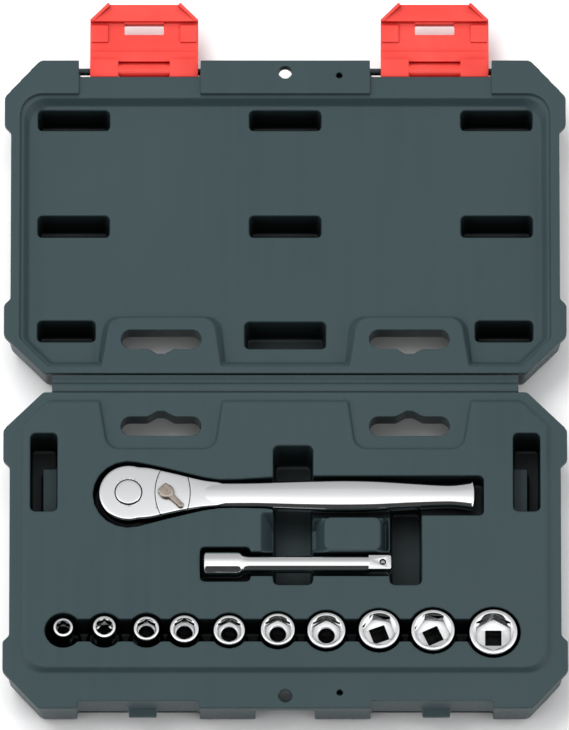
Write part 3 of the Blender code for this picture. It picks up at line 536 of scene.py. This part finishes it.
HEAD_X, HEAD_Y = middle("drive_gear")[:2]
HEAD_RADIUS = 12.0
HEAD_DOME = 0.3
NECK_START = 18.0
NECK_LENGTH = 18.0
NECK_DROP = 1.3
RATCHET_BOTTOM, RATCHET_TOP = (corner[2] for corner in low_high("ratchet_body"))
HANDLE_Z = (RATCHET_BOTTOM + RATCHET_TOP) / 2 + 0.6
LEVER_X = joint_place("lever_flip")[0]
BUTTON_RADIUS = 5.25


def head_outline():
    """Teardrop, counter-clockwise: round at the drive, with a long neck that runs into the handle."""
    round_end = arc(0.0, 0.0, HEAD_RADIUS, 72.0, 288.0, 72)
    front = smooth_curve([round_end[-1], (8.4, -11.0), (13.0, -9.95), (19.0, -8.5), (24.0, -7.3),
                          (28.0, -6.45), (31.5, -5.9), (36.0, -5.45)], 5)[1:]
    neck = arc(35.9, 0.0, 5.3, -80.0, 80.0, 12)
    rear = [(x, -y) for x, y in reversed(front)]
    return [(HEAD_X + x, HEAD_Y + y) for x, y in round_end + front + neck[1:-1] + rear]


def neck_drop(x):
    """How far the top has come down, at x, from the head to the slimmer handle."""
    t = min(max((x - HEAD_X - NECK_START) / NECK_LENGTH, 0.0), 1.0)
    return NECK_DROP * t * t * (3 - 2 * t)


def domed_head(name):
    """Teardrop block with rounded edges and a top that swells gently to its middle line."""
    outline = head_outline()
    levels = [(RATCHET_BOTTOM, 1.7), (RATCHET_BOTTOM + 0.25, 1.0), (RATCHET_BOTTOM + 0.9, 0.35),
              (RATCHET_BOTTOM + 2.2, 0.0)]
    levels += fillet_profile(RATCHET_TOP - HEAD_DOME, 1.1, 7)
    rings = [ring_at(outline, z, shrink) for z, shrink in levels]
    brim = inset(outline, levels[-1][1])
    spine = [(min(max(x, HEAD_X), HEAD_X + 33.0), HEAD_Y) for x, y in brim]
    for t in (0.12, 0.25, 0.4, 0.55, 0.7, 0.85, 0.97):
        z = RATCHET_TOP - HEAD_DOME * (1 - t) ** 2
        rings.append([(x + (sx - x) * t, y + (sy - y) * t, z)
                      for (x, y), (sx, sy) in zip(brim, spine)])
    upper = RATCHET_TOP - 3.0
    rings = [[(x, y, z - neck_drop(x) if z > upper else z) for x, y, z in ring] for ring in rings]
    return new_piece(name, rings)


def handle_section(half_width, half_height):
    """Crowned section of the handle, counter-clockwise, with tight corners at its four edges."""
    points = []
    squareness = 3.1
    exponent = 2.0 / squareness
    steps = 40
    for i in range(steps):
        a = 2 * math.pi * (i + 0.5) / steps
        c, s = math.cos(a), math.sin(a)
        y = math.copysign(abs(c) ** exponent, c) * half_width
        crown = 1.0 - 0.16 * (y / half_width) ** 2
        points.append((y, math.copysign(abs(s) ** exponent, s) * half_height * crown))
    return points


def handle():
    """Handle lofted through stations (x, half width, half height), with a rounded end."""
    stations = [(-42.0, 6.9, 3.6), (-38.0, 6.45, 3.6), (-34.0, 6.05, 3.65), (-30.0, 5.85, 3.7),
                (-20.0, 5.75, 3.8), (-10.0, 5.85, 3.9), (4.0, 6.3, 4.0), (14.0, 6.6, 4.15),
                (24.0, 6.75, 4.25), (36.0, 6.5, 4.15), (50.0, 5.6, 3.85), (61.0, 4.9, 3.5),
                (67.0, 4.75, 3.4), (72.0, 5.25, 3.55), (75.2, 5.85, 3.75)]
    curve = smooth_curve(stations, 6)
    end_x, end_width, end_height = curve[-1]
    cap = [(0.5, 1.01), (0.75, 0.985), (1.05, 0.93), (1.4, 0.82), (1.7, 0.62), (1.95, 0.3),
           (2.05, 0.08)]
    curve += [(end_x + dx, end_width * k, end_height * k) for dx, k in cap]
    rings = [[(x, HEAD_Y + y, HANDLE_Z + z) for y, z in handle_section(half_width, half_height)]
             for x, half_width, half_height in curve]
    return new_piece("handle", rings)


def cover_outline(grow):
    """Barrel-shaped plate outline, wider than the head and grown at both bulging ends."""
    reach = 13.0
    left_end, left_bow = LEVER_X - 4.5 - grow, 0.024
    right_end, right_bow = LEVER_X + 9.4 + grow, 0.021
    steps = [reach * (1 - i / 12) for i in range(25)]
    left = [(left_end + left_bow * y * y, HEAD_Y + y) for y in steps]
    right = [(right_end - right_bow * y * y, HEAD_Y + y) for y in reversed(steps)]
    return left + right


COVER_GAP = 0.36
BUTTON_GAP = 0.28
CHAMBER_RADIUS = 9.3
LEVER_BORE_RADIUS = 2.4


def ratchet_metal():
    """Head with handle, and the cover plate split off it by two curved seams."""
    top, bottom = RATCHET_TOP, RATCHET_BOTTOM
    body = unite(domed_head("ratchet"), handle())
    plate = link("cover_plate", body.data.copy())
    cut(body, prism("cover_recess", cover_outline(COVER_GAP), [top - 2.0, top + 3.0]))
    combine(plate, "INTERSECT", prism("cover_keep", cover_outline(0.0), [top - 1.4, top + 1.0]))
    well = [(top - 4.2, 0.0), (top - 0.7, 0.0), (top + 1.0, -0.4)]
    cut(body, prism("button_well", circle(HEAD_X, HEAD_Y, BUTTON_RADIUS + BUTTON_GAP, 96), well))
    chamber = [bottom - 1.0, bottom + 7.8]
    cut(body, prism("gear_chamber", circle(HEAD_X, HEAD_Y, CHAMBER_RADIUS, 96), chamber))
    bore = circle(LEVER_X, HEAD_Y, LEVER_BORE_RADIUS, 48)
    cut(plate, prism("lever_bore", bore, [top - 8.0, top + 3.0]))
    stand_for(soften_edges(body, 0.06), "ratchet_body")
    stand_for(soften_edges(plate, 0.05), "ratchet_cover_plate")


def release_button():
    """Round cap with a rounded rim and a top that swells slightly."""
    top = low_high("quick_release_button")[1][2]
    rim, swell = 0.45, 0.1
    rim_start = top - swell - rim
    profile = [(top - 2.5, BUTTON_RADIUS), (rim_start, BUTTON_RADIUS)]
    profile += [(rim_start + rim * math.sin(a), BUTTON_RADIUS - rim * (1 - math.cos(a)))
                for a in [math.pi / 2 * i / 5 for i in range(1, 6)]]
    profile += [(top - swell * k * k, (BUTTON_RADIUS - rim) * k) for k in (0.8, 0.6, 0.4, 0.2, 0.02)]
    button = turned("release_button_cap", profile, (HEAD_X, HEAD_Y, 0.0))
    shade_smooth(button, 40.0)
    stand_for(button, "quick_release_button")


def direction_lever():
    """Cast thumb lever: a rounded hub with a raised back, and a slim arm with a knobbed tip."""
    stem_z, top_z = (corner[2] for corner in low_high("reversing_lever"))
    base_z = top_z - 1.25
    pivot = (LEVER_X, HEAD_Y, 0.0)
    hub = turned("lever_cast", [(base_z, 3.0), (base_z + 0.6, 3.05), (top_z - 0.3, 2.75),
                                (top_z - 0.1, 2.35), (top_z, 1.8)], pivot, count=40)
    turn = Matrix.Rotation(math.radians(-45.0), 2)

    def about(points):
        return [(LEVER_X + p.x, HEAD_Y + p.y) for p in (turn @ Vector(q) for q in points)]

    back = rounded_polygon([(-3.0, -2.5), (0.6, -2.6), (0.6, 2.6), (-3.0, 2.5)], 0.8)
    unite(hub, prism("lever_back", about(back), [base_z, (top_z - 0.2, 0.1), (top_z, 0.4)]))
    arm = rounded_polygon([(1.0, -2.2), (3.4, -1.15), (9.0, -0.95),
                           (9.0, 0.95), (3.4, 1.15), (1.0, 2.2)], 0.5)
    unite(hub, prism("lever_arm", about(arm),
                     [base_z + 0.1, (top_z - 0.5, 0.0), (top_z - 0.25, 0.3)]))
    tip = about([(8.55, 0.0)])[0]
    unite(hub, turned("lever_tip", [(base_z + 0.1, 1.0), (top_z - 0.4, 1.1), (top_z - 0.1, 0.8)],
                      (*tip, 0.0), count=24))
    unite(hub, turned("lever_stem", [(stem_z, 1.95), (base_z + 0.5, 1.95)], pivot, count=24))
    melted(hub, voxel=0.12, rounds=3, triangles=40000)
    stand_for(hub, "reversing_lever")


# ---------------------------------------------------------------- extension bar

DRIVE_HALF = 3.3  # half width of the square holes
TANG_HALF = 3.175  # half width of the quarter-inch square


def rounded_square(half, radius, turn=0.0):
    """Square about the origin with rounded corners, turned by some degrees."""
    spin = Matrix.Rotation(math.radians(turn), 2)
    corners = [(-half, -half), (half, -half), (half, half), (-half, half)]
    return [tuple(spin @ Vector(p)) for p in rounded_polygon(corners, radius, 4)]


def extension_bar():
    """Bar with a socket end, a slim shaft and a square end, lying along X."""
    low, high = low_high("extension_bar")
    start, end = low[0], high[0]
    y, z = (low[1] + high[1]) / 2, (low[2] + high[2]) / 2
    profile = [(0.0, 4.55), (0.12, 4.9), (0.4, 5.2), (0.8, 5.33), (1.2, 5.35), (13.2, 5.35)]
    profile += smooth_curve([(14.0, 5.3), (14.9, 5.0), (16.2, 4.1), (17.6, 3.62), (19.0, 3.5)], 5)
    profile += [(66.2, 3.5), (66.9, 3.42), (67.5, 3.1), (67.8, 2.7)]
    bar = turned("extension", [(start + along, radius) for along, radius in profile],
                 (0.0, y, z), axis="X")
    levels = [(-9.6, 0.0), (-1.5, 0.0), (-0.7, 0.2), (-0.15, 0.75), (0.0, 1.1)]
    square = [[(end + x, y + a, z + b) for a, b in rounded_square(TANG_HALF - shrink, 0.55)]
              for x, shrink in levels]
    unite(bar, new_piece("drive_square", square))
    bore = [[(x, y + a, z + b) for a, b in rounded_square(DRIVE_HALF + grow, 0.3)]
            for x, grow in ((start - 1.0, 0.6), (start + 0.5, 0.0), (start + 9.5, 0.0))]
    cut(bar, new_piece("bar_socket", bore))
    ball_x, ball_y = middle("extension_detent_ball")[:2]
    cut(bar, turned("ball_seat", [(z - 1.6, 1.35), (z + 6.0, 1.35)], (ball_x, ball_y, 0.0), count=32))
    stand_for(soften_edges(bar, 0.08), "extension_bar")


def detent_balls():
    """The three steel balls, each as large as its CAD node."""
    for node in ("extension_detent_ball", "drive_detent_ball", "pawl_detent_ball"):
        low, high = low_high(node)
        radius = (high[0] - low[0]) / 2
        angles = [math.pi * (i + 0.5) / 16 for i in range(16)]
        profile = [(-radius * math.cos(a), radius * math.sin(a)) for a in angles]
        ball = turned(node.replace("detent_ball", "steel_ball"), profile, middle(node), count=32)
        ball.data.shade_smooth()
        stand_for(ball, node)


# ---------------------------------------------------------------- sockets

SOCKET_SIZES = range(5, 15)
SOCKET_TURNS = {12: 20.0, 13: 25.0}
NOSE_RADII = {5: 4.1, 6: 4.75, 7: 5.25, 8: 5.95}
HEXAGON_PLAY = 0.12
SMALLEST_WIDE_SIZE = 12  # from here up the drive square opens straight into the hexagon


def socket_profile(bottom, top, drive, nose):
    """Outer profile (height, radius), from the drive end up to the slimmer or equal nose."""
    profile = [(bottom, drive - 0.7), (bottom + 0.15, drive - 0.3), (bottom + 0.6, drive)]
    if nose < drive - 0.05:
        profile += [(bottom + 11.0, drive), (bottom + 11.6, drive - 0.1),
                    (bottom + 14.3, nose + 0.1), (bottom + 15.0, nose)]
    return profile + [(top - 0.85, nose), (top - 0.45, nose - 0.08), (top - 0.15, nose - 0.26),
                      (top, nose - 0.55)]


def socket(size):
    """Six-point socket: polished rim with a lead-in, hexagon, step, bore and drive square."""
    node = f"socket_{size}mm"
    low, high = low_high(node)
    x, y = middle(node)[:2]
    bottom, top = low[2], high[2]
    drive = (high[0] - low[0]) / 2
    nose = NOSE_RADII.get(size, drive)
    body = turned(f"hex_socket_{size}mm", socket_profile(bottom, top, drive, nose),
                  (x, y, 0.0), count=96)

    half = (size + HEXAGON_PLAY) / 2
    reach = half / math.cos(math.pi / 6)
    turn = SOCKET_TURNS.get(size, 0.0)
    corners = circle(x, y, reach, 6, math.radians(turn) + math.pi / 6)
    floor = top - max(4.6, 0.52 * size)
    cut(body, prism(f"hexagon_{size}", rounded_polygon(corners, 0.05 * size, 4), [floor, top + 1.0]))
    lead_in = [(top - 0.9, half - 0.1), (top + 0.1, min(reach + 0.12, nose - 0.6))]
    cut(body, turned(f"lead_in_{size}", lead_in, (x, y, 0.0)))
    square = [(x + a, y + b) for a, b in rounded_square(DRIVE_HALF, 0.35, turn)]
    wide = size >= SMALLEST_WIDE_SIZE
    square_top = floor + 0.5 if wide else bottom + 9.5
    cut(body, prism(f"drive_{size}", square, [bottom - 1.0, square_top]))
    if not wide:
        radius = min(0.44 * size, 3.2)
        bore = [(bottom + 5.0, radius), (floor - 0.5, radius), (floor + 0.6, radius + 0.9)]
        cut(body, turned(f"bore_{size}", bore, (x, y, 0.0), count=48))
    soften_edges(body, 0.07)
    stand_for(body, node)


def sockets():
    """The whole row of sockets."""
    for size in SOCKET_SIZES:
        socket(size)


# ---------------------------------------------------------------- hidden works

def carried_nodes():
    """CAD nodes that keep their own shape get their finish, and all but the springs a small bevel."""
    for node in ("drive_gear", "drive_retaining_ring", "pawl", "release_spring", "pawl_detent_spring",
                 "extension_ball_spring"):
        body = frame["nodes"][node]
        paint(body, SLOTS[node])
        if "spring" not in node:
            add_bevel(body, 0.12)


# ---------------------------------------------------------------- stage, light and camera

PHOTO_HEIGHT = 730
PIXELS_PER_METRE = 2467.5
VIEW_DISTANCE = 10.5
VIEW_ELEVATION = math.radians(67.8)


def floor():
    """Wide pale sheet, just under the case."""
    half = 4.0
    corners = [(-half, -half, 0), (half, -half, 0), (half, half, 0), (-half, half, 0)]
    mesh = bpy.data.meshes.new("floor")
    mesh.from_pydata(corners, [], [(0, 1, 2, 3)])
    plane = link("floor", mesh)
    plane.location.z = -0.2 * MM
    made = Nodes("floor_paper", (0.97, 0.97, 0.97), 0.8)
    made.bump((made.noise(400.0, 2.0), 0.02, 0.0002))
    mesh.materials.append(made.material)


# Brightness of the sky from its rear (0) to the camera's side (1)
SKY_STOPS = [(0.0, 0.45), (0.20, 0.55), (0.31, 0.78), (0.42, 1.05),
             (0.52, 1.35), (0.745, 1.45), (0.785, 0.05), (1.0, 0.06)]


def studio_world():
    """Bright overhead softbox, light grey behind the case and dark on the camera's side."""
    world = bpy.data.worlds.new("studio")
    bpy.context.scene.world = world
    world.use_nodes = True
    tree = world.node_tree
    sky = tree.nodes["Background"]
    place = tree.nodes.new("ShaderNodeTexCoord")
    split = tree.nodes.new("ShaderNodeSeparateXYZ")
    tree.links.new(place.outputs["Generated"], split.inputs["Vector"])
    ramp = tree.nodes.new("ShaderNodeValToRGB")
    span = tree.nodes.new("ShaderNodeMapRange")
    span.inputs["From Min"].default_value = 1.0
    span.inputs["From Max"].default_value = -1.0
    tree.links.new(split.outputs["Y"], span.inputs["Value"])
    tree.links.new(span.outputs["Result"], ramp.inputs["Fac"])
    while len(ramp.color_ramp.elements) < len(SKY_STOPS):
        ramp.color_ramp.elements.new(0.5)
    for element, (position, value) in zip(ramp.color_ramp.elements, SKY_STOPS):
        element.position = position
        element.color = (value, value, value * 1.01, 1.0)
    tree.links.new(ramp.outputs["Color"], sky.inputs["Color"])
    sky.inputs["Strength"].default_value = 1.0


def softbox():
    """Large soft light above, behind and to the left of the case, hidden from reflections."""
    light = bpy.data.lights.new("softbox", "AREA")
    light.shape = "RECTANGLE"
    light.size, light.size_y = 1.4, 1.0
    light.energy = 20.0
    lamp = bpy.data.objects.new("softbox", light)
    lamp.location = (-0.5, 0.5, 1.6)
    lamp.rotation_euler = (Vector((0.0, 0.07, 0.0)) - lamp.location).to_track_quat("-Z", "Y").to_euler()
    lamp.visible_glossy = False
    bpy.context.scene.collection.objects.link(lamp)


def camera():
    """The photograph's view: from the front, high above, through a very long lens."""
    lens = bpy.data.cameras.new("camera")
    lens.sensor_width = 36.0
    lens.lens = lens.sensor_width * VIEW_DISTANCE * PIXELS_PER_METRE / PHOTO_HEIGHT
    lens.clip_end = 50.0
    view = bpy.data.objects.new("camera", lens)
    target = Vector((-0.3, HINGE_Y + 7.6, PARTING_Z)) * MM
    sight = Vector((0.0, math.cos(VIEW_ELEVATION), -math.sin(VIEW_ELEVATION)))
    view.location = target - sight * VIEW_DISTANCE
    view.rotation_euler = (target - view.location).to_track_quat("-Z", "Y").to_euler()
    bpy.context.scene.collection.objects.link(view)
    bpy.context.scene.camera = view


def build():
    """The set in its case, then the stage, the light and the camera."""
    case_half("case_base", "base_shell", -1)
    case_half("case_lid", "lid_shell", 1)
    hinge_web()
    latches()
    ratchet_metal()
    release_button()
    direction_lever()
    extension_bar()
    detent_balls()
    sockets()
    carried_nodes()
    floor()
    studio_world()
    softbox()
    camera()
    bpy.context.scene.view_settings.view_transform = "Standard"


build()
